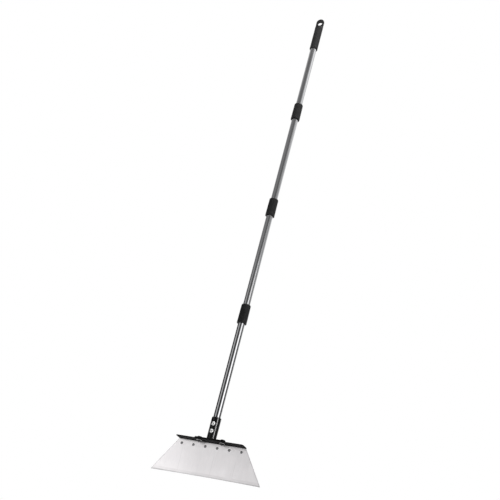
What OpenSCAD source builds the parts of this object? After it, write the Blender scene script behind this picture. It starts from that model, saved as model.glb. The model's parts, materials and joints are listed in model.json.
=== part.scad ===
// Roof snow scraper: a stiff steel blade on a four-section screw-together pole.
// Millimetres, +Z up the pole. The origin is the centre of the hang hole in the grip.
// X runs along the blade, and the ledge over the blade juts out to -Y.

/* [Pole] */
// Outer diameter of the steel tubes
tube_d = 22; // [20:0.5:22]
// Wall of the steel tubes
tube_wall = 1; // [0.8:0.1:1.5]
// Distance from one pole joint to the next
section_pitch = 390; // [300:5:450]
// Height of the lowest pole joint above the bracket plate
first_joint = 408; // [300:1:450]
// Distance from the uppermost pole joint up to the hang hole
last_joint_drop = 400; // [300:1:450]

/* [Joint collars] */
// Length of a collar
collar_len = 63.5; // [60:0.5:72]
// Outer diameter of a collar at its lower, open end
collar_bottom_d = 31; // [30:0.1:33]
// Outer diameter of a collar below its top chamfer
collar_top_d = 29.8; // [28.5:0.1:30]
// Number of grooves around a collar
collar_grooves = 18; // [12:1:24]
// Length of the threaded ferrule on the top end of a tube
ferrule_len = 26; // [22:1:28]

/* [Grip] */
// Diameter of the grip
grip_d = 28.5; // [27:0.5:30]
// Distance from the hang hole down to the grip's lower end
grip_drop = 119; // [100:1:140]
// Distance from the hang hole up to the top of the grip
grip_rise = 21; // [19:0.5:24]
// Diameter of the hang hole
hang_hole_d = 16; // [12:0.5:18]
// Thickness of the flattened eye around the hang hole
eye_t = 6; // [5:0.5:12]
// Number of grooves around the grip
grip_grooves = 14; // [10:1:18]

/* [Blade] */
// Width of the blade at its cutting edge
blade_bottom_w = 354; // [300:2:400]
// Width of the blade at its top
blade_top_w = 218; // [200:2:240]
// Height of the blade below the ledge
blade_h = 103; // [80:0.5:120]
// Thickness of the blade
blade_t = 1.8; // [1.2:0.1:2]
// Height of the ground bevel above the cutting edge
bevel_h = 10.5; // [6:0.5:14]
// How far the cutting edge arches up in its middle
edge_arch = 1.6; // [0:0.1:3]
// Angle between the blade and the pole, in degrees
blade_tilt = 2; // [0:0.5:4]
// Distance from one rivet to the next
rivet_pitch = 39; // [36:0.5:40]

/* [Angle and bracket] */
// How far the ledge juts out in front of the pole's axis
ledge_front = 16; // [16:0.5:18]
// Thickness of the angle's sheet
angle_t = 2; // [1.5:0.5:3]
// Height of the angle's leg behind the blade
leg_h = 24; // [20:1:30]
// Length of the bracket plate
plate_w = 97; // [90:1:120]
// Thickness of the bracket plate
plate_t = 3.5; // [3:0.5:5]
// Outer diameter of the socket
socket_d = 28.8; // [28:0.1:29]
// Height of the socket
socket_h = 67; // [60:1:75]
// Distance of each clamp bolt from the pole's axis
bolt_x = 37.5; // [32:0.5:40]
// Angle that the wing nuts are turned to, in degrees
wing_turn = 115; // [0:5:175]

/* [Hidden] */
$fn = 64;

// Joints: every clearance is radial unless it is named a gap
slide_clear = 0.3;
pin_clear = 0.05;
gap = 0.2;

plate_z = -(first_joint + 2 * section_pitch + last_joint_drop);
ledge_z = plate_z - plate_t;
ledge_under = ledge_z - angle_t;
function joint_z(n) = plate_z + first_joint + (n - 1) * section_pitch;

// Ferrules and gasket, measured from the joint plane
lip_t = 1.5;
gasket_t = 0.8;
ferrule_d = 24.6;
flow_d = 17;
tail_len = 13;
shoulder_z = gasket_t + tail_len + gap;
seat_z = 2;

// Grip
tube_4_top = -22;
cheek_z = -12;
cheek_blend_r = 10;
grip_groove_inset = 9;
grip_groove_end = cheek_z - cheek_blend_r - 6;
groove_r = 1.1;
groove_depth = 0.45;

// Bend between the ledge and the leg: its centre is the blade's own frame
bend_in_r = 0.5;
bend_out_r = bend_in_r + angle_t;
blade_face_y = 14.2;
bend_y = blade_face_y + blade_t - bend_in_r;
bend_z = ledge_z - bend_out_r;
blade_top = -gap;
blade_bottom = bend_in_r - blade_h;
blade_y = bend_in_r - blade_t;
edge_t = 0.5;
rivet_drop = 13.5;
rivet_z = bend_in_r - rivet_drop;
rivet_count = 6;
rivet_r = 2;
rivet_head_r = 4.1;
rivet_head_h = 1.5;
rivet_bulb_r = 3.2;
rivet_bulb_h = 2;
mandrel_r = 1.3;
corner_r = 6;

// Fasteners
screw_r = 3;
screw_z = [23, 45.5];
screw_head_r = 6.2;
screw_head_h = 3.6;
recess_size = 6;
recess_depth = 1.7;
recess_slot = 1.3;
screw_nut_af = 10;
screw_nut_h = 5;
screw_tail = 2;
bolt_r = 4;
bolt_head_af = 13;
bolt_head_h = 3.4;
crown_r = 16;
washer_r = 9;
nut_washer_r = 8;
washer_t = 1.2;
wing_hub_h = 3.8;
wing_hub_r = [6.2, 5.5];
wing_reach = 10.5;
wing_h = 4.4;
wing_t = 3;
bolt_tail = 0.8;
weld_size = 1.4;

plastic_colour = [0.09, 0.09, 0.1];
paint_colour = [0.03, 0.03, 0.03];
tube_colour = [0.62, 0.63, 0.65];
blade_colour = [0.86, 0.85, 0.86];
zinc_colour = [0.75, 0.75, 0.76];
rivet_colour = [0.4, 0.4, 0.41];
rubber_colour = [0.15, 0.15, 0.15];

// ---- Shapes that repeat ----

module ring(outer_r, inner_r, h) {
    difference() {
        cylinder(r = outer_r, h = h);
        translate([0, 0, -1]) cylinder(r = inner_r, h = h + 2);
    }
}

// Regular prism across flats af, standing on z = 0
module hex_prism(af, h) {
    cylinder(r = af / 2 / cos(30), h = h, $fn = 6);
}

// A round bar along Y, between from_y and to_y
module cross_bar(r, z, from_y, to_y) {
    translate([0, to_y, z]) rotate([90, 0, 0]) cylinder(r = r, h = to_y - from_y);
}

// Shallow grooves along Z, set around a body of radius r
module long_grooves(count, r, from_z, to_z) {
    for (i = [0 : count - 1])
        rotate([0, 0, i * 360 / count])
            translate([r + groove_r - groove_depth, 0, from_z])
                cylinder(r = groove_r, h = to_z - from_z, $fn = 24);
}

// Radius of the sphere that a domed head of radius r and height h is cut from
function dome_radius(r, h) = (r * r + h * h) / 2 / h;

// ---- Grip ----

module grip() {
    r = grip_d / 2;
    dome_z = grip_rise - r;
    color(plastic_colour) difference() {
        union() {
            translate([0, 0, -grip_drop]) cylinder(r = r, h = grip_drop + dome_z);
            translate([0, 0, dome_z]) sphere(r = r);
        }
        // bore for the tube, closed at its top
        translate([0, 0, -grip_drop - 1])
            cylinder(r = tube_d / 2, h = grip_drop + 1 + tube_4_top);
        // flat cheeks of the eye, each run out along a round
        for (side = [0, 180]) rotate([0, 0, side]) {
            translate([-r - 1, eye_t / 2, cheek_z])
                cube([2 * r + 2, r, grip_rise - cheek_z + 1]);
            translate([-r - 1, eye_t / 2 + cheek_blend_r, cheek_z])
                rotate([0, 90, 0]) cylinder(r = cheek_blend_r, h = 2 * r + 2);
        }
        cross_bar(hang_hole_d / 2, 0, -r, r);
        long_grooves(grip_grooves, r, grip_groove_inset - grip_drop, grip_groove_end);
    }
}

// ---- Pole ----

// Tube n runs between joint n - 1 and joint n
module tube(n) {
    from_z = n == 1 ? plate_z + seat_z : joint_z(n - 1) + gasket_t + lip_t;
    to_z = n == 4 ? tube_4_top : joint_z(n) - lip_t;
    color(tube_colour) difference() {
        translate([0, 0, from_z]) ring(tube_d / 2, tube_d / 2 - tube_wall, to_z - from_z);
        if (n == 1)
            for (z = screw_z) cross_bar(screw_r + pin_clear, plate_z + z, -tube_d, tube_d);
    }
}

// Male half of joint n: a capped sleeve on the top end of tube n
module thread_ferrule(n) {
    color(plastic_colour) translate([0, 0, joint_z(n)]) difference() {
        translate([0, 0, -ferrule_len]) cylinder(r = ferrule_d / 2, h = ferrule_len);
        translate([0, 0, -ferrule_len - 1])
            cylinder(r = tube_d / 2, h = ferrule_len + 1 - lip_t);
        translate([0, 0, -lip_t - 1]) cylinder(r = flow_d / 2, h = lip_t + 2);
    }
}

// Tail of the upper tube n: the sleeve that the collar's shoulder bears on
module tail_ferrule(n) {
    color(plastic_colour) translate([0, 0, joint_z(n - 1) + gasket_t]) difference() {
        cylinder(r = ferrule_d / 2, h = tail_len);
        translate([0, 0, lip_t]) cylinder(r = tube_d / 2, h = tail_len);
        translate([0, 0, -1]) cylinder(r = flow_d / 2, h = lip_t + 2);
    }
}

module gasket(n) {
    inset = 0.5;
    color(rubber_colour) translate([0, 0, joint_z(n)])
        ring(ferrule_d / 2 - inset, flow_d / 2 + inset, gasket_t);
}

// Union nut of joint n: turns on the upper tube and draws the lower ferrule up
module collar(n) {
    half = collar_len / 2;
    bottom_r = collar_bottom_d / 2;
    top_r = collar_top_d / 2;
    neck_r = tube_d / 2 + slide_clear;
    thread_r = ferrule_d / 2 + slide_clear;
    chamfer_w = 1;
    chamfer_h = 2;
    rim_h = 5;
    groove_from = rim_h + 2 - half;
    groove_to = half - chamfer_h - 3;
    color(plastic_colour) translate([0, 0, joint_z(n)]) difference() {
        rotate_extrude() polygon([
            [thread_r, -half], [bottom_r, -half], [bottom_r, rim_h - half],
            [top_r, half - chamfer_h], [top_r - chamfer_w, half],
            [neck_r, half], [neck_r, shoulder_z], [thread_r, shoulder_z]
        ]);
        long_grooves(collar_grooves, (bottom_r + top_r) / 2, groove_from, groove_to);
    }
}

// ---- Socket ----

module socket() {
    color(paint_colour) translate([0, 0, plate_z]) difference() {
        ring(socket_d / 2, tube_d / 2 + gap, socket_h);
        for (z = screw_z) cross_bar(screw_r + pin_clear, z, -socket_d, socket_d);
    }
}

module socket_weld() {
    r = socket_d / 2;
    hollow_r = weld_size * 1.25;
    hollow_at = weld_size * 1.35;
    color(paint_colour) translate([0, 0, plate_z]) rotate_extrude() difference() {
        translate([r, 0]) square(weld_size);
        // hollow face of the bead
        translate([r + hollow_at, hollow_at]) circle(r = hollow_r);
    }
}

// Two pan-head screws through the socket and the lowest tube
module socket_screws() {
    head_y = -socket_d / 2;
    end_y = socket_d / 2 + screw_nut_h + screw_tail;
    dome_r = dome_radius(screw_head_r, screw_head_h);
    color(zinc_colour) for (z = screw_z) translate([0, 0, plate_z + z]) {
        cross_bar(screw_r, 0, head_y, end_y);
        difference() {
            intersection() {
                translate([0, head_y - screw_head_h + dome_r, 0]) sphere(r = dome_r);
                cross_bar(screw_head_r, 0, head_y - screw_head_h - 1, head_y);
            }
            for (turn = [45, 135])
                translate([0, head_y - screw_head_h, 0]) rotate([0, turn, 0])
                    cube([recess_size, 2 * recess_depth, recess_slot], center = true);
        }
    }
}

module socket_nuts() {
    color(zinc_colour) for (z = screw_z)
        translate([0, socket_d / 2, plate_z + z]) rotate([-90, 0, 0]) difference() {
            hex_prism(screw_nut_af, screw_nut_h);
            translate([0, 0, -1]) cylinder(r = screw_r, h = screw_nut_h + 2);
        }
}

// ---- Bracket ----

module bolt_places() {
    for (side = [-1, 1]) translate([side * bolt_x, 0, 0]) children();
}

module bracket_plate() {
    r = 4;
    color(paint_colour) translate([0, 0, ledge_z]) difference() {
        union() {
            for (x = [r - plate_w / 2, plate_w / 2 - r], y = [r - ledge_front, ledge_front - r])
                translate([x, y, 0]) cylinder(r = r, h = plate_t);
            translate([r - plate_w / 2, -ledge_front, 0])
                cube([plate_w - 2 * r, 2 * ledge_front, plate_t]);
            translate([-plate_w / 2, r - ledge_front, 0])
                cube([plate_w, 2 * (ledge_front - r), plate_t]);
        }
        bolt_places() translate([0, 0, -1]) cylinder(r = bolt_r + gap, h = plate_t + 2);
    }
}

module clamp_bolts() {
    tail_z = ledge_under - washer_t - wing_hub_h - bolt_tail;
    head_z = plate_z + washer_t;
    color(paint_colour) bolt_places() {
        translate([0, 0, tail_z]) cylinder(r = bolt_r, h = head_z - tail_z);
        translate([0, 0, head_z]) intersection() {
            hex_prism(bolt_head_af, bolt_head_h);
            translate([0, 0, bolt_head_h - crown_r]) sphere(r = crown_r);
        }
    }
}

module bolt_washers() {
    color(paint_colour) bolt_places()
        translate([0, 0, plate_z]) ring(washer_r, bolt_r + gap, washer_t);
}

module nut_washers() {
    color(zinc_colour) bolt_places()
        translate([0, 0, ledge_under - washer_t]) ring(nut_washer_r, bolt_r + gap, washer_t);
}

// One ear in its own plane: x outwards, y away from the bearing face
module wing_outline() {
    lift = 0.3;
    tip_r = (wing_h - lift) / 2;
    translate([0, lift]) square([wing_reach - tip_r, 2 * tip_r]);
    translate([wing_reach - tip_r, lift + tip_r]) circle(r = tip_r);
}

// A low nut with two stubby ears. It hangs under its washer, so its bearing face is its top
module wing_nut(side) {
    color(paint_colour)
        translate([side * bolt_x, 0, ledge_under - washer_t]) rotate([180, 0, wing_turn])
            difference() {
                union() {
                    cylinder(r1 = wing_hub_r[0], r2 = wing_hub_r[1], h = wing_hub_h);
                    for (turn = [0, 180]) rotate([0, 0, turn])
                        translate([0, wing_t / 2, 0]) rotate([90, 0, 0])
                            linear_extrude(height = wing_t) wing_outline();
                }
                translate([0, 0, -1]) cylinder(r = bolt_r + pin_clear, h = wing_h + 2);
            }
}

// ---- Blade ----

// The blade's frame: its origin is the centre of the bend, its -Z runs down the blade
module blade_frame() {
    translate([0, bend_y, bend_z]) rotate([blade_tilt, 0, 0]) children();
}

module rivet_places() {
    for (i = [0 : rivet_count - 1])
        translate([(i - (rivet_count - 1) / 2) * rivet_pitch, 0, rivet_z]) children();
}

// Points on an arc round the bend's centre
bend_steps = 8;
function bend_arc(r, from_deg, to_deg) = [
    for (i = [0 : bend_steps])
        let (turn = from_deg + (to_deg - from_deg) * i / bend_steps)
            [bend_y + r * cos(turn), bend_z + r * sin(turn)]
];
// A point of the blade's frame, as y and z of the part's frame
function from_blade(y, z) = [
    bend_y + y * cos(blade_tilt) - z * sin(blade_tilt),
    bend_z + y * sin(blade_tilt) + z * cos(blade_tilt)
];
angle_profile = concat(
    [[-ledge_front, ledge_under], [-ledge_front, ledge_z]],
    bend_arc(bend_out_r, 90, blade_tilt),
    [from_blade(bend_out_r, -leg_h), from_blade(bend_in_r, -leg_h)],
    bend_arc(bend_in_r, blade_tilt, 90)
);

// Ledge over the blade and leg behind it, bent from one sheet
module blade_angle() {
    w = blade_top_w;
    color(paint_colour) difference() {
        translate([-w / 2, 0, 0]) rotate([90, 0, 90])
            linear_extrude(height = w) polygon(angle_profile);
        // the ledge's two front corners are rounded off
        for (side = [0, 1]) mirror([side, 0, 0])
            translate([w / 2 - corner_r, corner_r - ledge_front, ledge_under - 1]) difference() {
                translate([0, -corner_r - 1, 0]) cube([corner_r + 1, corner_r + 1, angle_t + 2]);
                translate([0, 0, -1]) cylinder(r = corner_r, h = angle_t + 4);
            }
        bolt_places() translate([0, 0, ledge_under - 1])
            cylinder(r = bolt_r + gap, h = angle_t + 2);
        blade_frame() rivet_places() cross_bar(rivet_r, 0, 0, 2 * bend_out_r);
    }
}

// Outline of the blade: straight sides, and a cutting edge on one shallow arc
function arch(x) = edge_arch * (1 - pow(2 * x / blade_bottom_w, 2));
arc_steps = 24;
function edge_x(i) = blade_bottom_w * (0.5 - i / arc_steps);
blade_outline = concat(
    [[-blade_top_w / 2, blade_top], [blade_top_w / 2, blade_top]],
    [for (i = [0 : arc_steps]) [edge_x(i), blade_bottom + arch(edge_x(i))]]
);

module blade() {
    bevel = atan((blade_t - edge_t) / bevel_h);
    tool_h = 4 * bevel_h;
    color(blade_colour) blade_frame() difference() {
        translate([0, bend_in_r, 0]) rotate([90, 0, 0])
            linear_extrude(height = blade_t) polygon(blade_outline);
        // a block laid along the bevel takes the ground wedge off the front
        translate([-blade_bottom_w, blade_y, blade_bottom + bevel_h]) rotate([bevel, 0, 0])
            translate([0, -tool_h, -tool_h]) cube([2 * blade_bottom_w, tool_h, tool_h]);
        rivet_places() cross_bar(rivet_r, 0, -2 * blade_t, 2 * blade_t);
    }
}

// Pop rivets: a domed head with its mandrel hole, a shank, and the bulb behind the leg
module blade_rivets() {
    back_y = bend_out_r;
    dome_r = dome_radius(rivet_head_r, rivet_head_h);
    color(rivet_colour) blade_frame() rivet_places() difference() {
        union() {
            cross_bar(rivet_r, 0, blade_y, back_y);
            intersection() {
                translate([0, blade_y - rivet_head_h + dome_r, 0]) sphere(r = dome_r);
                cross_bar(rivet_head_r, 0, blade_y - rivet_head_h - 1, blade_y);
            }
            cross_bar(rivet_bulb_r, 0, back_y, back_y + rivet_bulb_h);
        }
        cross_bar(mandrel_r, 0, blade_y - 2 * rivet_head_h, blade_y + 1);
    }
}

grip();
tube(4);  // tube_4
tail_ferrule(4);  // tail_ferrule_4
gasket(3);  // gasket_3
collar(3);  // collar_3
thread_ferrule(3);  // thread_ferrule_3
tube(3);  // tube_3
tail_ferrule(3);  // tail_ferrule_3
gasket(2);  // gasket_2
collar(2);  // collar_2
thread_ferrule(2);  // thread_ferrule_2
tube(2);  // tube_2
tail_ferrule(2);  // tail_ferrule_2
gasket(1);  // gasket_1
collar(1);  // collar_1
thread_ferrule(1);  // thread_ferrule_1
tube(1);  // tube_1
socket();
socket_weld();
socket_screws();
socket_nuts();
bracket_plate();
clamp_bolts();
bolt_washers();
nut_washers();
wing_nut(-1);  // wing_nut_left
wing_nut(1);  // wing_nut_right
blade_angle();
blade();
blade_rivets();
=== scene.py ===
"""Roof snow scraper: the visual model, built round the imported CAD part."""
import json
import math

import bmesh
import bpy
from mathutils import Matrix, Vector

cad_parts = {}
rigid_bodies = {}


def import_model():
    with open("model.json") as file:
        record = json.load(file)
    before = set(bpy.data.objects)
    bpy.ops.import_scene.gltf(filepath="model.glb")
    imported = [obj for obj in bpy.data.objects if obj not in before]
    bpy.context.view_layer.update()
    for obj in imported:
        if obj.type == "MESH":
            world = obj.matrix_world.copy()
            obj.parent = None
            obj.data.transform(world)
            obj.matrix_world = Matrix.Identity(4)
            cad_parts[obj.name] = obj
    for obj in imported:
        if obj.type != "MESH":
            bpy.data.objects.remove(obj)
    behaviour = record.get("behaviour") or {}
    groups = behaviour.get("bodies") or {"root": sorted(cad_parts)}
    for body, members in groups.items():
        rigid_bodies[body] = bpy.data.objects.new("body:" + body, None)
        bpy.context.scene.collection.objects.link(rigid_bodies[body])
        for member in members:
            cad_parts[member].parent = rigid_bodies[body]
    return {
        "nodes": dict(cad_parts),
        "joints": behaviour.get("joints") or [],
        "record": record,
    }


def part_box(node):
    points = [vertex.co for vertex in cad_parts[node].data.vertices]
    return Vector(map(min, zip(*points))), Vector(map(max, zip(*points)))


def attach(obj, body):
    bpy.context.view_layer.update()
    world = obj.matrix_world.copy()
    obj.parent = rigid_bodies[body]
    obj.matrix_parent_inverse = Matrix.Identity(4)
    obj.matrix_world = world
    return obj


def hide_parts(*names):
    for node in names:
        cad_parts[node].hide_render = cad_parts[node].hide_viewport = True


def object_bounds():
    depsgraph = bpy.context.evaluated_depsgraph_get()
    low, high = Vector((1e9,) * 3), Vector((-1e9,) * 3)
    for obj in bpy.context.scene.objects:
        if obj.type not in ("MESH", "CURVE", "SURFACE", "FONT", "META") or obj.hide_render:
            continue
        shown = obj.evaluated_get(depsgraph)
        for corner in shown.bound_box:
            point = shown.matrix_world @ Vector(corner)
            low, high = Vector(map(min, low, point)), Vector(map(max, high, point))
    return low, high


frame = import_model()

MM = 0.001
TAU = 2 * math.pi
cad_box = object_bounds()


# ---------------------------------------------------------------- places, from the frame

def joint_place(name):
    """Where a joint's axis passes, in metres."""
    return Vector(next(j["pos_m"] for j in frame["joints"] if j["name"] == name))


def box_mm(node):
    """Lowest and highest corner of a CAD node, in millimetres."""
    low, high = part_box(node)
    return low / MM, high / MM


plate_low, plate_high = box_mm("bracket_plate")
angle_low, angle_high = box_mm("blade_angle")
blade_high = box_mm("blade")[1]
socket_low, socket_high = box_mm("socket")
grip_low, grip_high = box_mm("grip")
tube_r = (box_mm("tube_4")[1].x - box_mm("tube_4")[0].x) / 2
joint_z = {n: joint_place(f"collar_{n}_turn").z / MM for n in (1, 2, 3)}
bolt_x = joint_place("wing_nut_right_turn").x / MM

TUBE_WALL = 1.0
ANGLE_T = 2.0
BEND_IN_R = 0.5
BLADE_T = 1.8
BLADE_TILT = math.radians(2)
plate_z = plate_high.z
ledge_z = plate_low.z
ledge_under = ledge_z - ANGLE_T
ledge_front = -angle_low.y
blade_top_w = angle_high.x * 2
blade_bottom_w = blade_high.x * 2
BLADE_FACE_Y = 14.2
blade_frame = (
    Matrix.Translation((0, BLADE_FACE_Y + BLADE_T - BEND_IN_R, ledge_under - BEND_IN_R))
    @ Matrix.Rotation(BLADE_TILT, 4, "X")
)
FACE_FORWARD = Matrix.Rotation(math.radians(90), 4, "X")     # local +Z to the row's -Y
HANG_DOWN = Matrix.Rotation(math.radians(180), 4, "X")       # local +Z to the row's -Z
UP_ALONG_X = Matrix(((0, 0, 1, 0), (1, 0, 0, 0), (0, 1, 0, 0), (0, 0, 0, 1)))   # local X, Y, Z to Y, Z, X


# ---------------------------------------------------------------- materials

class Material:
    """A Principled material and the few node patterns that the surfaces here are made of."""

    def __init__(self, name, **sockets):
        self.made = bpy.data.materials.new(name)
        self.made.use_nodes = True
        self.tree = self.made.node_tree
        self.shader = self.tree.nodes["Principled BSDF"]
        for socket, value in sockets.items():
            self.shader.inputs[socket.replace("_", " ")].default_value = value
        self.place = self.node("ShaderNodeTexCoord").outputs["Object"]

    def node(self, kind, **settings):
        made = self.tree.nodes.new(kind)
        for key, value in settings.items():
            setattr(made, key, value)
        return made

    def link(self, source, target):
        self.tree.links.new(source, target)

    def stretched(self, scale, turn=(0, 0, 0)):
        """The surface's place, scaled by axis: a small number draws the pattern out along it."""
        mapping = self.node("ShaderNodeMapping")
        mapping.inputs["Scale"].default_value = scale
        mapping.inputs["Rotation"].default_value = turn
        self.link(self.place, mapping.inputs["Vector"])
        return mapping.outputs["Vector"]

    def noise(self, scale, detail=4, stretch=(1, 1, 1), roughness=0.5, turn=(0, 0, 0)):
        texture = self.node("ShaderNodeTexNoise")
        texture.inputs["Scale"].default_value = scale
        texture.inputs["Detail"].default_value = detail
        texture.inputs["Roughness"].default_value = roughness
        self.link(self.stretched(stretch, turn), texture.inputs["Vector"])
        return texture.outputs["Fac"]

    def spread(self, value, low, high, from_low=0.3, from_high=0.7):
        """value, from its usual span to low..high."""
        span = self.node("ShaderNodeMapRange")
        ends = {"From Min": from_low, "From Max": from_high, "To Min": low, "To Max": high}
        for key, number in ends.items():
            span.inputs[key].default_value = number
        self.link(value, span.inputs["Value"])
        return span.outputs["Result"]

    def sum(self, first, second, operation="ADD"):
        made = self.node("ShaderNodeMath", operation=operation)
        for target, source in zip(made.inputs, (first, second)):
            if isinstance(source, (int, float)):
                target.default_value = source
            else:
                self.link(source, target)
        return made.outputs[0]

    def between(self, factor, first, second):
        """A colour from first to second, as factor goes from 0 to 1. Either may be a socket."""
        mix = self.node("ShaderNodeMix", data_type="RGBA")
        self.link(factor, mix.inputs["Factor"])
        for key, colour in (("A", first), ("B", second)):
            socket = next(s for s in mix.inputs if s.name == key and s.type == "RGBA")
            if isinstance(colour, tuple):
                socket.default_value = (*colour, 1)
            else:
                self.link(colour, socket)
        return next(s for s in mix.outputs if s.type == "RGBA")

    def sharp_edge_mask(self, radius, low, high):
        """0 on flat faces and 1 on sharp edges, found by how far a bevelled normal turns."""
        bevel = self.node("ShaderNodeBevel", samples=6)
        bevel.inputs["Radius"].default_value = radius
        plain = self.node("ShaderNodeNewGeometry").outputs["Normal"]
        dot = self.node("ShaderNodeVectorMath", operation="DOT_PRODUCT")
        self.link(bevel.outputs["Normal"], dot.inputs[0])
        self.link(plain, dot.inputs[1])
        return self.spread(dot.outputs["Value"], 1, 0, low, high)

    def colour(self, socket):
        self.link(socket, self.shader.inputs["Base Color"])

    def roughness(self, socket):
        self.link(socket, self.shader.inputs["Roughness"])

    def bump(self, height, distance, strength=1.0):
        bump = self.node("ShaderNodeBump")
        bump.inputs["Strength"].default_value = strength
        bump.inputs["Distance"].default_value = distance
        self.link(height, bump.inputs["Height"])
        self.link(bump.outputs["Normal"], self.shader.inputs["Normal"])


def polished_tube():
    """Stainless tube, polished along its length, with faint draw lines and handling haze."""
    m = Material("polished_tube", Metallic=1.0)
    lines = m.noise(900, detail=3, stretch=(1, 1, 0.004))
    haze = m.noise(9, detail=5, stretch=(1, 1, 0.35), roughness=0.6)
    m.colour(m.between(m.spread(haze, 0, 1), (0.60, 0.605, 0.62), (0.68, 0.68, 0.69)))
    m.roughness(m.sum(m.spread(haze, 0.10, 0.17), m.spread(lines, -0.02, 0.03)))
    m.bump(lines, 0.000006, 0.5)
    return m.made


def moulded_plastic(name, colour, grain, rough):
    """Black injection moulding: a fine spark-eroded grain, and soft clouds where it is a little lighter and
    rougher.
    """
    m = Material(name, IOR=1.45, Specular_IOR_Level=0.38)
    fine = m.noise(grain, detail=3)
    cloud = m.noise(45, detail=4, roughness=0.6)
    worn = tuple(c * 2.2 + 0.003 for c in colour)
    m.colour(m.between(m.spread(cloud, 0, 0.55), colour, worn))
    m.roughness(m.sum(m.spread(cloud, rough - 0.05, rough + 0.06), m.spread(fine, -0.04, 0.05)))
    m.bump(fine, 0.00006, 0.6)
    return m.made


def rubber():
    """Soft black rubber: dull and slightly patchy."""
    m = Material("gasket_rubber", IOR=1.45)
    cloud = m.noise(160, detail=4)
    m.colour(m.between(m.spread(cloud, 0, 1), (0.018, 0.018, 0.018), (0.035, 0.034, 0.033)))
    m.roughness(m.spread(cloud, 0.7, 0.85))
    m.bump(cloud, 0.00003, 0.5)
    return m.made


def black_coat(name, coat, rough, specular):
    """Black powder coat: a little orange peel, dust in it, and a duller, greyer rub along its edges."""
    m = Material(name, IOR=1.5, Specular_IOR_Level=specular, Coat_Weight=coat, Coat_Roughness=0.06)
    peel = m.noise(420, detail=2)
    cloud = m.noise(30, detail=5, roughness=0.65)
    specks = m.spread(m.noise(1500, detail=1), 0, 1, 0.72, 0.78)
    base = m.between(m.spread(cloud, 0, 1), (0.006, 0.006, 0.0065), (0.012, 0.012, 0.0125))
    dusty = m.between(specks, base, (0.05, 0.05, 0.05))
    edge = m.sum(m.sharp_edge_mask(0.0006, 0.80, 0.98), m.spread(m.noise(260, detail=3), 0.2, 1), "MULTIPLY")
    m.colour(m.between(edge, dusty, (0.045, 0.045, 0.046)))
    m.roughness(m.sum(m.sum(m.spread(cloud, rough - 0.05, rough + 0.05), m.spread(peel, -0.02, 0.02)),
                      m.sum(edge, 0.15, "MULTIPLY")))
    m.bump(peel, 0.00005, 0.45)
    return m.made


def black_steel():
    """Black-plated fasteners: a soft sheen with faint cloudiness."""
    m = Material("black_steel", Metallic=0.6, IOR=1.6)
    cloud = m.noise(220, detail=5, roughness=0.6)
    m.colour(m.between(m.spread(cloud, 0, 1), (0.010, 0.010, 0.011), (0.028, 0.028, 0.030)))
    m.roughness(m.spread(cloud, 0.28, 0.42))
    m.bump(m.noise(1400, detail=3), 0.00002, 0.5)
    return m.made


def plated_steel(name, dark, light, rough):
    """A steel fastener: cloudy, with fine tool marks."""
    m = Material(name, Metallic=1.0)
    cloud = m.noise(260, detail=5, roughness=0.6)
    marks = m.noise(2600, detail=2, stretch=(1, 1, 0.2))
    m.colour(m.between(m.spread(cloud, 0, 1), dark, light))
    m.roughness(m.sum(m.spread(cloud, rough - 0.07, rough + 0.07), m.spread(marks, -0.03, 0.04)))
    m.bump(marks, 0.00001, 0.5)
    return m.made


def brushed_sheet(name, grind_along_x, painted_shade_scale=1.0):
    """Stainless sheet: brushed up and down, patchy where the belt bore harder, with a few long scratches
    and darker along its edges. Its last argument darkens all of it: painted shade, for the bevel that faces
    down and away from the light."""
    def shade(*colour):
        return tuple(c * painted_shade_scale for c in colour)

    m = Material(name, Metallic=0.6, Specular_IOR_Level=0.5)
    run = (0.015, 1, 1) if grind_along_x else (1, 1, 0.02)
    patch_run = (0.5, 1, 1) if grind_along_x else (1, 1, 0.45)
    brush = m.noise(1100, detail=4, stretch=run, roughness=0.7)
    patch = m.noise(26, detail=4, stretch=patch_run, roughness=0.55)
    cloud = m.noise(8, detail=2)
    scratch = m.spread(m.noise(150, detail=1, stretch=(1, 1, 0.01), turn=(0, 0.2, 0)), 0, 1, 0.70, 0.74)
    tone = m.sum(m.spread(patch, 0, 0.55), m.spread(cloud, 0, 0.45))
    plain = m.between(tone, shade(0.76, 0.735, 0.745), shade(0.99, 0.965, 0.975))
    brushed = m.between(m.spread(brush, 0, 0.35), plain, shade(0.68, 0.67, 0.68))
    scratched = m.between(m.sum(scratch, 0.25, "MULTIPLY"), brushed, shade(0.5, 0.5, 0.5))
    # the sheet's colour is darkened within a few millimetres of its sharp edges
    edge = m.sum(m.sharp_edge_mask(0.004, 0.90, 0.999), 0.8, "MULTIPLY")
    m.colour(m.between(edge, scratched, shade(0.36, 0.355, 0.36)))
    m.roughness(m.sum(m.spread(patch, 0.42, 0.52), m.spread(brush, -0.05, 0.06)))
    m.bump(brush, 0.00003, 0.6)
    return m.made


MATERIALS = {
    "polished_tube": polished_tube(),
    "black_plastic": moulded_plastic("black_plastic", (0.004, 0.004, 0.0043), 1300, 0.46),
    "ferrule_plastic": moulded_plastic("ferrule_plastic", (0.022, 0.022, 0.024), 900, 0.5),
    "gasket_rubber": rubber(),
    "black_paint": black_coat("black_paint", coat=0.25, rough=0.19, specular=0.2),
    "satin_paint": black_coat("satin_paint", coat=0.0, rough=0.5, specular=0.02),
    "black_steel": black_steel(),
    "zinc_steel": plated_steel("zinc_steel", (0.70, 0.70, 0.71), (0.86, 0.86, 0.85), 0.27),
    "rivet_steel": plated_steel("rivet_steel", (0.20, 0.20, 0.21), (0.30, 0.30, 0.30), 0.42),
    "blade_steel": brushed_sheet("blade_steel", grind_along_x=False),
    # the bevel: the same steel, ground across, darkened overall as painted shade
    "bevel_steel": brushed_sheet("bevel_steel", grind_along_x=True, painted_shade_scale=0.92),
}


# ---------------------------------------------------------------- mesh tools

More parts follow.
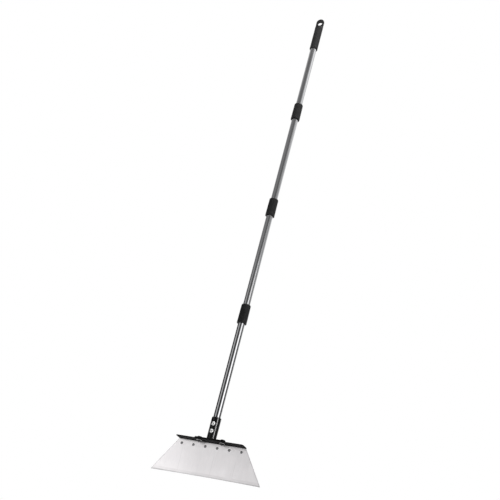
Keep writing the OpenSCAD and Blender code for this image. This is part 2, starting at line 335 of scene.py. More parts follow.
def mesh_object(name, points, faces, place=None):
    """A piece from points in millimetres, placed in the row frame."""
    mesh = bpy.data.meshes.new(name)
    mesh.from_pydata([Vector(p) * MM for p in points], [], faces)
    if place is not None:
        shift = place.copy()
        shift.translation *= MM
        mesh.transform(shift)
    made = bpy.data.objects.new(name, mesh)
    bpy.context.scene.collection.objects.link(made)
    repair(made)
    return made


def repair(made, reach=1e-7):
    """Merges points within reach of each other, drops the slivers and folded pairs of faces that this
    leaves, and turns every face outwards."""
    bm = bmesh.new()
    bm.from_mesh(made.data)
    bmesh.ops.remove_doubles(bm, verts=bm.verts, dist=reach)
    bmesh.ops.triangulate(bm, faces=[face for face in bm.faces if len(face.verts) > 4])
    bmesh.ops.dissolve_degenerate(bm, edges=bm.edges, dist=reach)
    twins = {}
    for face in bm.faces:
        twins.setdefault(frozenset(face.verts), []).append(face)
    folded = [face for faces in twins.values() if len(faces) > 1 for face in faces]
    bmesh.ops.delete(bm, geom=folded, context="FACES")
    bmesh.ops.recalc_face_normals(bm, faces=bm.faces)
    bm.to_mesh(made.data)
    bm.free()


def turns(start, stop, steps):
    """Angles from start to stop, in even steps."""
    return [start + (stop - start) * k / steps for k in range(steps + 1)]


def filleted(outline, radii, steps=5):
    """A closed outline with its corners rounded. radii gives a radius for each corner; 0 keeps it sharp."""
    made = []
    count = len(outline)
    for i, (corner, radius) in enumerate(zip(outline, radii)):
        here = Vector(corner)
        back = Vector(outline[i - 1]) - here
        on = Vector(outline[(i + 1) % count]) - here
        if radius <= 0 or back.length < 1e-9 or on.length < 1e-9:
            made.append(tuple(here))
            continue
        angle = back.angle(on)
        reach = min(radius / math.tan(angle / 2), back.length * 0.49, on.length * 0.49)
        true_r = reach * math.tan(angle / 2)
        middle = here + (back.normalized() + on.normalized()).normalized() * (true_r / math.sin(angle / 2))
        start = (here + back.normalized() * reach - middle).normalized()
        end = (here + on.normalized() * reach - middle).normalized()
        made += [tuple(middle + start.slerp(end, k / steps) * true_r) for k in range(steps + 1)]
    return made


def divided(outline, step):
    """The same closed outline, with long straight stretches cut so that none is longer than step."""
    made = []
    for here, after in zip(outline, outline[1:] + outline[:1]):
        pieces = max(1, math.ceil((Vector(after) - Vector(here)).length / step))
        made += [tuple(Vector(here).lerp(Vector(after), k / pieces)) for k in range(pieces)]
    return made


def lathe(name, outline, segments=96, shape=None, place=None):
    """A closed body of revolution about Z, from an outline of (r, z). shape(r, z, angle) may move each
    point. An outline that starts and ends on the axis is closed there."""
    on_axis = [r < 1e-6 for r, _ in outline]
    closed = not (on_axis[0] and on_axis[-1])
    points, rows = [], []
    for (r, z), axis in zip(outline, on_axis):
        if axis:
            rows.append([len(points)] * segments)
            points.append((0, 0, z))
            continue
        row = []
        for k in range(segments):
            angle = TAU * k / segments
            rr, zz = shape(r, z, angle) if shape else (r, z)
            row.append(len(points))
            points.append((rr * math.cos(angle), rr * math.sin(angle), zz))
        rows.append(row)
    faces = []
    pairs = list(zip(rows, rows[1:])) + ([(rows[-1], rows[0])] if closed else [])
    for low, high in pairs:
        for k in range(segments):
            after = (k + 1) % segments
            corners = []
            for index in (low[k], low[after], high[after], high[k]):
                if index not in corners:
                    corners.append(index)
            if len(corners) > 2:
                faces.append(corners)
    return mesh_object(name, points, faces, place)


def slab(name, outline, thickness, place=None):
    """A flat plate: outline in X and Y, standing on z = 0."""
    count = len(outline)
    points = [(x, y, z) for z in (0, thickness) for x, y in outline]
    faces = [list(range(count))[::-1], list(range(count, 2 * count))]
    faces += [[k, (k + 1) % count, count + (k + 1) % count, count + k] for k in range(count)]
    return mesh_object(name, points, faces, place)


def with_modifier(made, kind, **settings):
    """Adds one modifier and applies it."""
    modifier = made.modifiers.new(kind.lower(), kind)
    for key, value in settings.items():
        setattr(modifier, key, value)
    graph = bpy.context.evaluated_depsgraph_get()
    applied = bpy.data.meshes.new_from_object(made.evaluated_get(graph))
    made.modifiers.clear()
    made.data = applied
    return made


def cut(made, *tools):
    """Takes tools out of made, and removes them."""
    return combine(made, "DIFFERENCE", tools)


def fuse(made, *tools):
    """Joins tools to made as one body, and removes them."""
    return combine(made, "UNION", tools)


def combine(made, operation, tools):
    """One exact boolean for each tool, which is then removed."""
    for tool in tools:
        with_modifier(made, "BOOLEAN", operation=operation, object=tool, solver="EXACT")
        bpy.data.objects.remove(tool)
    return made


def soften(made, width, segments=2, angle=35):
    """Rounds every edge sharper than angle, as a real part's are."""
    return with_modifier(made, "BEVEL", width=width * MM, segments=segments, limit_method="ANGLE",
                         angle_limit=math.radians(angle), harden_normals=False, miter_outer="MITER_ARC")


def finish_piece(made, body, slot, nodes=(), sharp=38, material=None):
    """Shades a piece, gives it its material and hangs it on its body in place of its CAD nodes.
    Normals are weighted by area, so that a long straight face stays straight between soft edges."""
    repair(made, 0.02 * MM)
    made.data.materials.clear()
    made.data.materials.append(MATERIALS[material or slot])
    made.data.shade_smooth()
    made.data.set_sharp_from_angle(angle=math.radians(sharp))
    with_modifier(made, "WEIGHTED_NORMAL", keep_sharp=True)
    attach(made, body)
    if nodes:
        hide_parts(*nodes)
    return made


def fade(value, low, high, run):
    """1 between low and high, falling smoothly to 0 over run inside each end."""
    inside = min((value - low) / run, (high - value) / run, 1)
    inside = max(inside, 0)
    return inside * inside * (3 - 2 * inside)


def grooved(count, depth, low, high, wall_r, sharpness=3):
    """A lathe shape: shallow grooves along Z in the outer wall, faded out at both ends."""
    def shape(r, z, angle):
        if r < wall_r:
            return r, z
        hollow = max(0.0, math.cos(count * angle)) ** sharpness
        return r - depth * hollow * fade(z, low, high, 4), z
    return shape


def threaded(pitch, depth, low, high, wall_r):
    """A lathe shape: a right-hand helical thread in the outer wall."""
    def shape(r, z, angle):
        if r < wall_r:
            return r, z
        phase = (z / pitch - angle / TAU) % 1
        return r - depth * abs(2 * phase - 1) * fade(z, low, high, pitch / 2), z
    return shape


def hexagonal(apothem, top, bottom, chamfer_r):
    """A lathe shape: the wall becomes a hexagon whose corners are chamfered at both faces."""
    def shape(r, z, angle):
        if r < apothem * 1.001:
            return r, z
        turn = (angle + math.pi / 6) % (math.pi / 3) - math.pi / 6
        reach = apothem / math.cos(turn)
        drop = max(0.0, reach - chamfer_r) * math.tan(math.radians(30))
        if z > (top + bottom) / 2:
            return reach, min(z, top - drop) if z >= top - 1e-6 else z
        return reach, max(z, bottom + drop) if z <= bottom + 1e-6 else z
    return shape


# ---------------------------------------------------------------- pole

def tube(n, body):
    """One pole tube, open at both ends."""
    low, high = (v.z for v in box_mm(f"tube_{n}"))
    outline = [(tube_r, low), (tube_r, high), (tube_r - TUBE_WALL, high), (tube_r - TUBE_WALL, low)]
    made = lathe(f"pole_tube_{n}", filleted(outline, [0.35] * 4), segments=128)
    return finish_piece(made, body, "polished_tube", [f"tube_{n}"])


def collar(n):
    """The union nut of joint n: a flared lower rim, a grooved wall and a rounded shoulder."""
    low, high = box_mm(f"collar_{n}")
    half = (high.z - low.z) / 2
    bottom_r = (high.x - low.x) / 2
    top_r, neck_r, thread_r = 14.9, 11.3, 12.6
    shoulder_z, rim_h, chamfer_w, chamfer_h = 14, 5, 1, 2
    outline = [
        (thread_r, -half), (bottom_r, -half), (bottom_r, rim_h - half), (top_r, half - chamfer_h),
        (top_r - chamfer_w, half), (neck_r, half), (neck_r, shoulder_z), (thread_r, shoulder_z),
    ]
    outline = divided(filleted(outline, [0.5, 0.7, 3, 1.5, 0.6, 0.5, 0, 0]), step=2)
    grooves = grooved(count=18, depth=0.45, low=rim_h + 1 - half, high=half - chamfer_h - 2,
                      wall_r=(neck_r + thread_r) / 2 + 1)
    made = lathe(f"screw_collar_{n}", outline, segments=216, shape=grooves,
                 place=Matrix.Translation((0, 0, joint_z[n])))
    return finish_piece(made, f"collar_{n}", "black_plastic", [f"collar_{n}"])


def grip():
    """A grooved grip whose top is pressed flat into an eye, with a rounded hole through it."""
    r = grip_high.x
    dome_z = grip_high.z - r
    mouth_z = grip_low.z
    tube_top, cheek_z, cheek_blend, eye_half, hole_r, rim_r = -22, -12, 10, 3, 8, 0.8
    lip_h, ring_step, groove_from, groove_to = 0.8, 1.2, 9, cheek_z - cheek_blend - 5
    dome = [(r * math.cos(a), dome_z + r * math.sin(a)) for a in turns(0, math.pi / 2, 14)]
    outline = [(0, tube_top), (tube_r, tube_top), (tube_r, mouth_z)]
    outline += [(r - 0.7, mouth_z), (r - 0.2, mouth_z + 0.25), (r, mouth_z + lip_h)]
    steps = round((dome_z - mouth_z) / ring_step)
    outline += [(r, mouth_z + lip_h + (dome_z - mouth_z - lip_h) * k / steps) for k in range(1, steps)]
    outline += dome[:-1] + [(0, grip_high.z)]
    grooves = grooved(count=14, depth=0.5, low=mouth_z + groove_from, high=groove_to, wall_r=r - 0.05)

    made = lathe("moulded_grip", outline, segments=168, shape=grooves)
    # each cheek is a slab along X whose corner rolls out to the full round
    top, wide = grip_high.z + 2, r + 2
    roll = [(eye_half + cheek_blend * (1 - math.cos(a)), cheek_z - cheek_blend * math.sin(a))
            for a in turns(0, math.pi / 2, 16)]
    cheek = [(wide, top), (eye_half, top)] + roll + [(wide, cheek_z - cheek_blend)]
    for turn in (0, math.pi):
        lay = Matrix.Rotation(turn, 4, "Z") @ Matrix.Translation((-wide, 0, 0)) @ UP_ALONG_X
        cut(made, slab("cheek", cheek, 2 * wide, lay))
    rises = [k / 6 for k in range(7)]
    flare = [(hole_r + rim_r * (1 - math.sqrt(1 - rise ** 2)), eye_half - rim_r + rim_r * rise)
             for rise in rises]
    flare += [(hole_r + rim_r, wide), (0, wide)]
    punch = lathe("punch", [(rr, -z) for rr, z in reversed(flare)] + flare, segments=64, place=FACE_FORWARD)
    cut(made, punch)
    return finish_piece(made, "handle_section", "black_plastic", ["grip"])


# ---------------------------------------------------------------- socket

def socket():
    """The round tube on the bracket plate that holds the lowest pole tube."""
    r = socket_high.x
    inner = tube_r + 0.2
    outline = [(r, socket_low.z), (r, socket_high.z), (inner, socket_high.z), (inner, socket_low.z)]
    made = lathe("pole_socket", filleted(outline, [0, 0.8, 0.4, 0]), segments=128)
    return finish_piece(made, "blade_section", "black_paint", ["socket"])


def weld_bead():
    """The bead round the foot of the socket, with the ripples that a torch leaves."""
    bead_r, middle_z = 1.1, 0.4
    middle_r = socket_high.x + 0.35
    ripples, swells = 34, 7
    steps, around = 216, 14
    points, faces = [], []
    for k in range(steps):
        angle = TAU * k / steps
        ripple = 1 + 0.07 * math.sin(angle * ripples) + 0.03 * math.sin(angle * swells + 1)
        for j in range(around):
            turn = TAU * j / around
            reach = middle_r + bead_r * ripple * math.cos(turn)
            rise = max(middle_z + bead_r * ripple * math.sin(turn), 0)
            points.append((reach * math.cos(angle), reach * math.sin(angle), rise))
    for k in range(steps):
        for j in range(around):
            a, b = k * around, (k + 1) % steps * around
            c, d = j, (j + 1) % around
            faces.append([a + c, b + c, b + d, a + d])
    made = mesh_object("socket_weld_bead", points, faces, Matrix.Translation((0, 0, plate_z)))
    return finish_piece(made, "blade_section", "black_paint", ["socket_weld"], sharp=80)


SCREW_Z = (23, 45.5)
SCREW_R = 3


def socket_screw(index, height):
    """A pan-head screw with a cross recess; its threaded end shows behind the nut."""
    head_r, head_h = 6.2, 3.5
    r = socket_high.x
    dome_r = (head_r ** 2 + head_h ** 2) / 2 / head_h
    rim = math.asin(head_r / dome_r)
    steps = 12
    dome = [(dome_r * math.sin(rim * k / steps), head_h - dome_r + dome_r * math.cos(rim * k / steps))
            for k in range(1, steps)]
    end, thread_top, point_h, thread_steps = -(2 * r + 7), 2 - 2 * r, 1.4, 76
    thread_h = thread_top - end - point_h
    outline = [(0, head_h)] + dome + [(head_r - 0.05, 0.35), (head_r - 0.3, 0), (SCREW_R, 0)]
    outline += [(SCREW_R, thread_top - thread_h * k / thread_steps) for k in range(thread_steps + 1)]
    outline += [(SCREW_R - 0.6, end), (0, end)]
    place = Matrix.Translation((0, -r, plate_z + height)) @ FACE_FORWARD
    thread = threaded(pitch=1.0, depth=0.5, low=end, high=thread_top, wall_r=SCREW_R - 0.01)
    made = lathe(f"socket_screw_{index}", outline[::-1], segments=64, shape=thread, place=place)
    half_slot, wing, recess_h, tool_h = 0.6, 3, 1.9, 4
    arm = [(half_slot, half_slot), (wing, half_slot), (wing, -half_slot)]
    cross = []
    for turn in range(4):
        twist = Matrix.Rotation(-turn * math.pi / 2, 2)
        cross += [tuple(twist @ Vector(corner)) for corner in arm]
    deep = Matrix.Translation((0, 0, head_h - recess_h)) @ Matrix.Rotation(math.pi / 4, 4, "Z")
    cut(made, slab("recess", filleted(cross, [0, 0.3, 0.3] * 4), tool_h, place @ deep))
    return made


def hex_nut(name, across, height, bore_r, place):
    """A plain hexagon nut, standing on z = 0, with a lead into its bore at both faces."""
    apothem = across / 2
    face_r = apothem * 0.96
    wall_r, lead = apothem * 1.01, 0.4
    outline = [
        (bore_r, lead), (bore_r + lead, 0), (face_r, 0), (wall_r, 0), (wall_r, height * 0.25),
        (wall_r, height * 0.75), (wall_r, height), (face_r, height), (bore_r + lead, height),
        (bore_r, height - lead),
    ]
    hexagon = hexagonal(apothem, top=height, bottom=0, chamfer_r=face_r)
    return lathe(name, outline, segments=96, shape=hexagon, place=place)


def socket_fasteners():
    back = Matrix.Rotation(math.radians(-90), 4, "X")
    screws, nuts = [], []
    for index, height in enumerate(SCREW_Z, 1):
        screws.append(socket_screw(index, height))
        place = Matrix.Translation((0, socket_high.x, plate_z + height)) @ back
        nuts.append(hex_nut(f"socket_nut_{index}", across=10, height=5, bore_r=SCREW_R, place=place))
    for pieces, node in ((screws, "socket_screws"), (nuts, "socket_nuts")):
        for piece in pieces:
            finish_piece(piece, "blade_section", "zinc_steel", [node], sharp=30)


# ---------------------------------------------------------------- bracket

def rounded_rectangle(low_x, low_y, high_x, high_y, radius, steps=8):
    corners = [(low_x, low_y), (high_x, low_y), (high_x, high_y), (low_x, high_y)]
    return filleted(corners, [radius] * 4, steps)


def bracket_plate():
    """The flat plate under the socket, bolted down to the ledge."""
    outline = rounded_rectangle(plate_low.x, plate_low.y, plate_high.x, plate_high.y, radius=4)
    made = slab("bracket_base_plate", outline, plate_high.z - plate_low.z,
                Matrix.Translation((0, 0, ledge_z)))
    soften(made, 0.5, 3)
    return finish_piece(made, "blade_section", "black_paint", ["bracket_plate"], material="satin_paint")


BOLT_R = 4
WASHER_T = 1.2
HUB_H = 3.8
BOLT_TAIL = 0.8
BOLT_THREAD = 10.5


def clamp_bolt(side, name):
    """A hexagon bolt down through the plate and ledge, with its threaded end under the wing nut."""
    apothem, head_h = 6.5, 3.4
    head_z = plate_z + WASHER_T
    end = ledge_under - WASHER_T - HUB_H - BOLT_TAIL
    face_r, wall_r = apothem * 0.95, apothem * 1.01
    head_top, wall_z = head_z + head_h, head_z + 0.35
    point_h, thread_steps = 0.7, 110
    outline = [(0, end), (BOLT_R - point_h, end)]
    outline += [(BOLT_R, end + point_h + BOLT_THREAD * k / thread_steps) for k in range(thread_steps + 1)]
    outline += [
        (BOLT_R, head_z), (face_r - 0.3, head_z), (face_r, wall_z), (wall_r, wall_z), (wall_r, head_z + 2),
        (wall_r, head_top), (face_r, head_top), (face_r - 0.6, head_top - 0.05), (0, head_top - 0.15),
    ]
    hexagon = hexagonal(apothem, top=head_top, bottom=wall_z, chamfer_r=face_r)
    thread = threaded(pitch=1.25, depth=0.6, low=end, high=end + point_h + BOLT_THREAD,
                      wall_r=BOLT_R - 0.01)

    def shape(r, z, angle):
        return hexagon(r, z, angle) if z > head_z + 0.1 else thread(r, z, angle)

    made = lathe(f"clamp_bolt_{name}", outline, segments=96, shape=shape,
                 place=Matrix.Translation((side * bolt_x, 0, 0)))
    return finish_piece(made, "blade_section", "black_steel", ["clamp_bolts"], sharp=30)


def washer(name, side, z, r, slot, node):
    """A flat washer on a clamp bolt, standing on z."""
    inner = BOLT_R + 0.2
    outline = [(inner, z), (r, z), (r, z + WASHER_T), (inner, z + WASHER_T)]
    made = lathe(name, filleted(outline, [0.2, 0.45, 0.45, 0.2]), segments=96,
                 place=Matrix.Translation((side * bolt_x, 0, 0)))
    return finish_piece(made, "blade_section", slot, [node])


def wing_nut(side, name):
    """A low cast wing nut: two stubby ears run into a conical hub, all edges soft, bored right through."""
    reach, wing_t, low, high, wing_turn = 10.4, 3, 0.3, 4.3, math.radians(115)
    tip_r = (high - low) / 2
    arc = [(reach - tip_r + tip_r * math.sin(a), (low + high) / 2 - tip_r * math.cos(a))
           for a in turns(0, math.pi, 14)]
    outline = [(0, low)] + arc + [(0, high)]
    place = Matrix.Translation((side * bolt_x, 0, ledge_under - WASHER_T)) @ HANG_DOWN
    place = place @ Matrix.Rotation(-wing_turn, 4, "Z")
    foot_r, top_r = 6.2, 5.5
    made = lathe("hub", [(0, 0), (foot_r, 0), (top_r, HUB_H), (0, HUB_H)], segments=64, place=place)
    for turn in (0, math.pi):
        stand = Matrix.Rotation(turn, 4, "Z") @ Matrix.Translation((0, wing_t / 2, 0)) @ FACE_FORWARD
        fuse(made, slab("ear", outline, wing_t, place @ stand))
    with_modifier(made, "REMESH", mode="VOXEL", voxel_size=0.3 * MM)
    with_modifier(made, "SMOOTH", factor=0.5, iterations=5)
    bore = BOLT_R + 0.05
    drill = [(0, -1), (bore + 0.8, -1), (bore, 0.6), (bore, HUB_H + 1), (0, HUB_H + 1)]
    cut(made, lathe("bore", drill, segments=64, place=place))
    made.name = made.data.name = f"wing_nut_cast_{name}"
    return finish_piece(made, f"wing_nut_{name}", "black_steel", [f"wing_nut_{name}"], sharp=50)


# ---------------------------------------------------------------- blade

def blade_angle():
    """The bent sheet: a ledge with rounded front corners, a bend, and the leg behind the blade."""
    leg_h, corner_r, bend_steps, corner_steps = 24, 6, 8, 10
    out_r = BEND_IN_R + ANGLE_T
    half = blade_top_w / 2
    middle = blade_frame.translation

    def bend(r, start, stop):
        return [(middle.y + r * math.cos(a), middle.z + r * math.sin(a))
                for a in turns(start, stop, bend_steps)]

    def on_leg(y, z):
        place = blade_frame @ Vector((0, y, z))
        return place.y, place.z

    right = math.pi / 2
    back = bend(out_r, right, BLADE_TILT) + [on_leg(out_r, -leg_h), on_leg(BEND_IN_R, -leg_h)]
    back += bend(BEND_IN_R, BLADE_TILT, right)
    ends = [half - corner_r + corner_r * math.sin(a) for a in turns(0, right, corner_steps)]
    stations = [-x for x in reversed(ends)] + ends
    points = []
    for x in stations:
        into = max(abs(x) - (half - corner_r), 0)
        front = -ledge_front + corner_r - math.sqrt(max(corner_r ** 2 - into ** 2, 0))
        points += [(x, y, z) for y, z in [(front, ledge_under), (front, ledge_z)] + back]
    size = len(back) + 2
    faces = [[k * size + j, k * size + (j + 1) % size, (k + 1) * size + (j + 1) % size, (k + 1) * size + j]
             for k in range(len(stations) - 1) for j in range(size)]
    faces += [list(range(size)), list(range((len(stations) - 1) * size, len(stations) * size))]
    made = mesh_object("blade_ledge_angle", points, faces)
    soften(made, 0.35, 2, angle=50)
    return finish_piece(made, "blade_section", "black_paint", ["blade_angle"], sharp=45,
                        material="satin_paint")


BLADE_H = 103
RIVET_PITCH = 39
RIVET_DROP = 13.5


def blade():
    """The flared blade: flat sheet, a bevel ground on its front, and a shallow arch in its edge."""
    bevel_h, edge_t, arch, columns = 10.5, 0.5, 1.6, 64
    top, bottom = -0.2, BEND_IN_R - BLADE_H
    face = BEND_IN_R - BLADE_T
    drop = top - bottom

    def half_width(z):
        return blade_top_w / 2 + (blade_bottom_w - blade_top_w) / 2 * (top - z) / drop

    def row(z_at, y_at):
        made = []
        for k in range(columns + 1):
            share = 2 * k / columns - 1
            edge_share = share * blade_bottom_w / 2
            z = z_at(edge_share)
            made.append((share * half_width(z), y_at(z), z))
        return made

    def edge_z(x):
        return bottom + arch * (1 - (2 * x / blade_bottom_w) ** 2)

    bevel_top = bottom + bevel_h
    slope = (BLADE_T - edge_t) / bevel_h
    rows = [
        row(lambda x: top, lambda z: face),
        row(lambda x: (top + bevel_top) / 2, lambda z: face),
        row(lambda x: bevel_top, lambda z: face),
        row(edge_z, lambda z: face + (bevel_top - z) * slope),
        row(edge_z, lambda z: BEND_IN_R),
        row(lambda x: bevel_top, lambda z: BEND_IN_R),
        row(lambda x: (top + bevel_top) / 2, lambda z: BEND_IN_R),
        row(lambda x: top, lambda z: BEND_IN_R),
    ]
    width = columns + 1
    points = [p for r in rows for p in r]
    faces = [[a * width + k, a * width + k + 1, b * width + k + 1, b * width + k]
             for a, b in zip(range(len(rows)), [*range(1, len(rows)), 0]) for k in range(columns)]
    for k in (0, columns):
        faces += [[a * width + k, b * width + k, c * width + k, d * width + k]
                  for a, b, c, d in ((0, 1, 6, 7), (1, 2, 5, 6), (2, 3, 4, 5))]
    made = mesh_object("scraper_blade", points, faces, blade_frame)
    soften(made, 0.2, 2, angle=30)
    made = finish_piece(made, "blade_section", "blade_steel", ["blade"], sharp=25)
    # the bevel's down-turned faces get the darker copy of the steel: painted shade
    made.data.materials.append(MATERIALS["bevel_steel"])
    low_bevel = (blade_frame @ Vector((0, face, bevel_top))).z * MM
    for polygon in made.data.polygons:
        if polygon.center.z < low_bevel and polygon.normal.z < -0.06:
            polygon.material_index = 1
    return made


def rivet(index):
    """A pop rivet: a domed flange, the hole its mandrel was pulled through, and the bulb behind."""
    head_r, head_h, hole_r, shank_r, bulb_r = 4.1, 1.5, 1.3, 2, 3.2
    face = BEND_IN_R - BLADE_T
    behind = -(BLADE_T + ANGLE_T)
    outline = [
        (0, 0.35), (hole_r * 0.75, 0.3), (hole_r * 0.8, 0.05), (hole_r, 0), (hole_r, head_h - 0.35),
        (hole_r + 0.4, head_h), (head_r * 0.62, head_h * 0.93), (head_r * 0.85, head_h * 0.62),
        (head_r, 0.25), (head_r - 0.1, 0), (shank_r, 0), (shank_r, behind), (bulb_r - 0.4, behind),
        (bulb_r, behind - 0.6), (bulb_r - 0.2, behind - 1.5), (bulb_r * 0.6, behind - 2), (0, behind - 2),
    ]
    x = (index - 3.5) * RIVET_PITCH
    place = blade_frame @ Matrix.Translation((x, face, BEND_IN_R - RIVET_DROP)) @ FACE_FORWARD
    made = lathe(f"blade_rivet_{index}", outline[::-1], segments=48, place=place)
    return finish_piece(made, "blade_section", "rivet_steel", ["blade_rivets"], sharp=50)


# ---------------------------------------------------------------- the whole tool

def build():
    """Makes every piece, and gives the plain CAD pieces that stay in view their materials."""
    for n, body in ((1, "blade_section"), (2, "section_2"), (3, "section_3"), (4, "handle_section")):
        tube(n, body)
    for n in (1, 2, 3):
        collar(n)
    grip()
    socket()
    weld_bead()
    socket_fasteners()
    bracket_plate()
    for side, name in ((-1, "left"), (1, "right")):
        clamp_bolt(side, name)
        washer(f"bolt_washer_{name}", side, z=plate_z, r=9, slot="black_steel", node="bolt_washers")
        washer(f"nut_washer_{name}", side, z=ledge_under - WASHER_T, r=8, slot="zinc_steel",
               node="nut_washers")
        wing_nut(side, name)
    blade_angle()
    blade()
    for index in range(1, 7):
        rivet(index)
    slot_names = {part["node"]: part["material_slot"] for part in frame["record"]["subparts"]}
    for name, made in frame["nodes"].items():
        if not made.hide_render:
            made.data.materials.clear()
            made.data.materials.append(MATERIALS[slot_names[name]])


# ---------------------------------------------------------------- studio

def make_camera():
    """Looks up at the tool from below and from its right, as if the blade were nearest."""
    azimuth, elevation, roll = math.radians(25.07), math.radians(-24.83), math.radians(15.0)
    target = Vector((-37.6, 0, plate_z + 636)) * MM
    distance = 2.952
    data = bpy.data.cameras.new("camera")
    data.sensor_width = 36
    data.lens = 65.17
    data.clip_start, data.clip_end = 0.05, 60
    made = bpy.data.objects.new("camera", data)
    bpy.context.scene.collection.objects.link(made)
    back = Vector((math.sin(azimuth) * math.cos(elevation), -math.cos(azimuth) * math.cos(elevation),
                   math.sin(elevation)))
    made.location = target + back * distance
    made.rotation_mode = "QUATERNION"
    tilt = Matrix.Rotation(roll, 3, "Z").to_quaternion()
    made.rotation_quaternion = (-back).to_track_quat("-Z", "Y") @ tilt
    bpy.context.scene.camera = made


def softbox(name, place, target, width, height, radiance, lights_only=()):
    """A flat light that looks at target. radiance is how bright its face is: the backdrop's is 1.
    lights_only keeps it, as a flag would, to the pieces whose names start so."""
    data = bpy.data.lights.new(name, "AREA")
    data.shape = "RECTANGLE"
    data.size, data.size_y = width, height
    data.energy = radiance * math.pi * width * height
    made = bpy.data.objects.new(name, data)
    made.location = place
    made.rotation_mode = "QUATERNION"
    made.rotation_quaternion = (Vector(target) - Vector(place)).to_track_quat("-Z", "Y")
    bpy.context.scene.collection.objects.link(made)
    if lights_only:
        lit = bpy.data.collections.new(name + "_lights")
        for piece in bpy.context.scene.objects:
            if piece.type == "MESH" and piece.name.startswith(tuple(lights_only)):
                lit.objects.link(piece)
        made.light_linking.receiver_collection = lit


def around(angle, distance, height):
    """A point round the tool: angle 0 is in front of it, and +90 degrees is to its right."""
    turn = math.radians(angle)
    return Vector((math.sin(turn) * distance, -math.cos(turn) * distance, height))


BRIGHTEST_SCREEN = 3


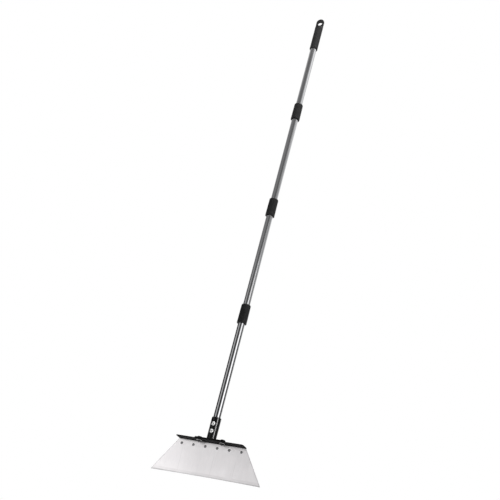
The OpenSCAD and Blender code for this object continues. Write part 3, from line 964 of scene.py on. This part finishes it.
def make_world():
    """A pale studio: white to look at, and soft grey and white screens to reflect, by direction."""
    world = bpy.data.worlds.new("studio")
    bpy.context.scene.world = world
    world.use_nodes = True
    tree = world.node_tree
    nodes, links = tree.nodes, tree.links
    nodes.clear()
    place = nodes.new("ShaderNodeTexCoord")
    split = nodes.new("ShaderNodeSeparateXYZ")
    links.new(place.outputs["Generated"], split.inputs["Vector"])
    flip = nodes.new("ShaderNodeMath")
    flip.operation = "MULTIPLY"
    flip.inputs[1].default_value = -1
    links.new(split.outputs["Y"], flip.inputs[0])
    turn = nodes.new("ShaderNodeMath")
    turn.operation = "ARCTAN2"
    links.new(split.outputs["X"], turn.inputs[0])
    links.new(flip.outputs[0], turn.inputs[1])
    share = nodes.new("ShaderNodeMapRange")
    share.inputs["From Min"].default_value = -math.pi
    share.inputs["From Max"].default_value = math.pi
    links.new(turn.outputs[0], share.inputs["Value"])

    def screens(stops):
        """A ring of screens: (degrees round from the front, brightness)."""
        ramp = nodes.new("ShaderNodeValToRGB")
        ramp.color_ramp.interpolation = "B_SPLINE"
        elements = ramp.color_ramp.elements
        elements.remove(elements[-1])
        for k, (degrees, bright) in enumerate(stops):
            element = elements.new((degrees + 180) / 360) if k else elements[0]
            element.color = (*[bright / BRIGHTEST_SCREEN] * 3, 1)
        links.new(share.outputs["Result"], ramp.inputs["Fac"])
        return ramp.outputs["Color"]

    low = screens([
        (-180, 0.6), (-150, 0.03), (-118, 0.02), (-80, 0.02), (-62, 0.03), (-48, 0.69), (-34, 0.74),
        (-14, 0.03), (6, 0.02), (20, 0.02), (32, 0.12), (50, 1.50), (62, 2.90), (78, 0.6), (100, 0.04),
        (125, 0.03), (150, 0.32), (180, 1.2),
    ])
    middle = screens([
        (-180, 1.05), (-140, 0.72), (-115, 0.42), (-90, 0.24), (-70, 0.19), (-50, 0.22), (-33, 0.27),
        (-14, 0.27), (6, 0.19), (24, 0.11), (40, 0.14), (56, 0.27), (72, 0.36), (88, 0.37), (105, 0.40),
        (122, 0.58), (150, 0.90), (180, 1.1),
    ])
    high = screens([
        (-180, 0.5), (-140, 0.5), (-115, 0.58), (-90, 0.56), (-60, 0.31), (-40, 0.17), (-20, 0.16),
        (-4, 0.19), (12, 0.19), (28, 0.17), (42, 0.20), (56, 0.36), (70, 0.68), (90, 1.15), (110, 1.42),
        (130, 1.0), (150, 0.5), (180, 0.5),
    ])
    zenith = screens([(-180, 1.5), (180, 1.5)])

    def mixed(first, second, from_z, to_z):
        span = nodes.new("ShaderNodeMapRange")
        span.interpolation_type = "SMOOTHSTEP"
        span.inputs["From Min"].default_value = math.sin(math.radians(from_z))
        span.inputs["From Max"].default_value = math.sin(math.radians(to_z))
        links.new(split.outputs["Z"], span.inputs["Value"])
        mix = nodes.new("ShaderNodeMix")
        mix.data_type = "RGBA"
        colours = [s for s in mix.inputs if s.type == "RGBA"]
        links.new(span.outputs["Result"], mix.inputs["Factor"])
        links.new(first, colours[0])
        links.new(second, colours[1])
        return next(s for s in mix.outputs if s.type == "RGBA")

    ring = mixed(mixed(mixed(low, middle, 18, 27), high, 30, 38), zenith, 44, 62)
    lit = nodes.new("ShaderNodeBackground")
    links.new(ring, lit.inputs["Color"])
    lit.inputs["Strength"].default_value = BRIGHTEST_SCREEN
    seen = nodes.new("ShaderNodeBackground")
    seen.inputs["Color"].default_value = (1, 1, 1, 1)
    path = nodes.new("ShaderNodeLightPath")
    choose = nodes.new("ShaderNodeMixShader")
    links.new(path.outputs["Is Camera Ray"], choose.inputs["Fac"])
    links.new(lit.outputs[0], choose.inputs[1])
    links.new(seen.outputs[0], choose.inputs[2])
    out = nodes.new("ShaderNodeOutputWorld")
    links.new(choose.outputs[0], out.inputs["Surface"])


def make_floor():
    """A plain pale floor, well below the blade."""
    half, below_blade = 7, 0.72
    z = cad_box[0].z - below_blade
    corners = [(-half, -half, z), (half, -half, z), (half, half, z), (-half, half, z)]
    mesh = bpy.data.meshes.new("floor")
    mesh.from_pydata(corners, [], [(0, 1, 2, 3)])
    floor = bpy.data.objects.new("floor", mesh)
    bpy.context.scene.collection.objects.link(floor)
    paint = bpy.data.materials.new("floor")
    paint.use_nodes = True
    shader = paint.node_tree.nodes["Principled BSDF"]
    shader.inputs["Base Color"].default_value = (0.82, 0.82, 0.82, 1)
    shader.inputs["Roughness"].default_value = 0.9
    mesh.materials.append(paint)


def make_studio():
    """The surroundings, and three softboxes that each light only some of the pieces."""
    bpy.context.scene.view_settings.view_transform = "Standard"
    make_world()
    make_floor()
    blade_middle = (0, 0, cad_box[0].z + 0.05)
    socket_middle = (0, 0, -1.55)
    tool_middle = (0, 0, -0.8)
    softbox("blade_softbox", around(-41, 2.5, cad_box[0].z + 0.1), blade_middle,
            width=1.2, height=1.0, radiance=3.75,
            lights_only=["scraper_blade", "blade_rivet", "socket_screw", "nut_washer"])
    softbox("socket_strip", around(60, 3.0, -0.83), socket_middle,
            width=0.45, height=0.5, radiance=30, lights_only=["pole_socket"])
    softbox("top_softbox", (0.4, -0.6, 2.2), tool_middle,
            width=2.4, height=2.4, radiance=3,
            lights_only=["pole", "screw_collar", "moulded_grip", "clamp_bolt", "bolt_washer", "wing_nut"])


make_camera()
build()
make_studio()
